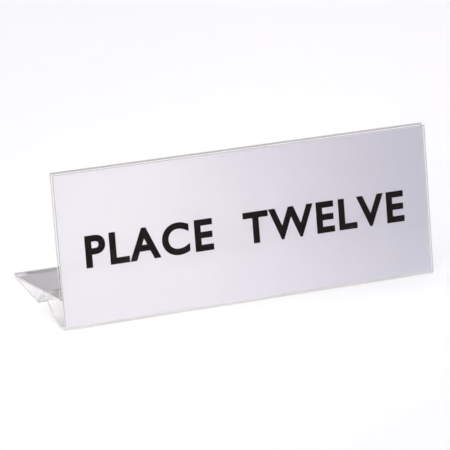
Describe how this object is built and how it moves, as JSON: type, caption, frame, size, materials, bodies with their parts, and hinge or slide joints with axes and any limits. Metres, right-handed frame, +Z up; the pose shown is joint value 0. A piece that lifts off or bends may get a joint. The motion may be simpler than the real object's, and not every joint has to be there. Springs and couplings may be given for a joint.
{
  "type": "place name holder",
  "caption": "Clear bent-sheet place name holder: a leaning card pocket with a springy front window on a hollow sloping foot, with a card that slides out of either open end.",
  "frame": {"origin": "on the table, under the middle of the holder's width and depth", "axes": "+X along the width, to the right as seen from the front; +Y from the window back to the foot's rear edge; +Z up"},
  "size_m": [0.15, 0.059, 0.0573],
  "materials": {
    "clear_sheet": "clear rigid sheet, glossy faces, frosted cut edges, milky at the bottom fold",
    "bond_film": "clear greyish adhesive film",
    "card_white": "smooth white card with satin print"
  },
  "bodies": {
    "stand": {"back_panel": "clear_sheet", "base_fold": "clear_sheet", "rear_bond_strip": "bond_film", "ridge_bond_strip": "bond_film"},
    "window": {"front_window": "clear_sheet"},
    "card": {"name_card": "card_white"}
  },
  "joints": [
    {"name": "window_flex", "type": "hinge", "parent": "stand", "child": "window", "pos_m": [0, -0.02894, 0.00278], "axis": [1, 0, 0], "range_deg": [0, 12], "stiffness_Nm_per_rad": 1},
    {"name": "card_slide", "type": "slide", "parent": "stand", "child": "card", "axis": [1, 0, 0], "range_m": [-0.155, 0.155]}
  ]
}
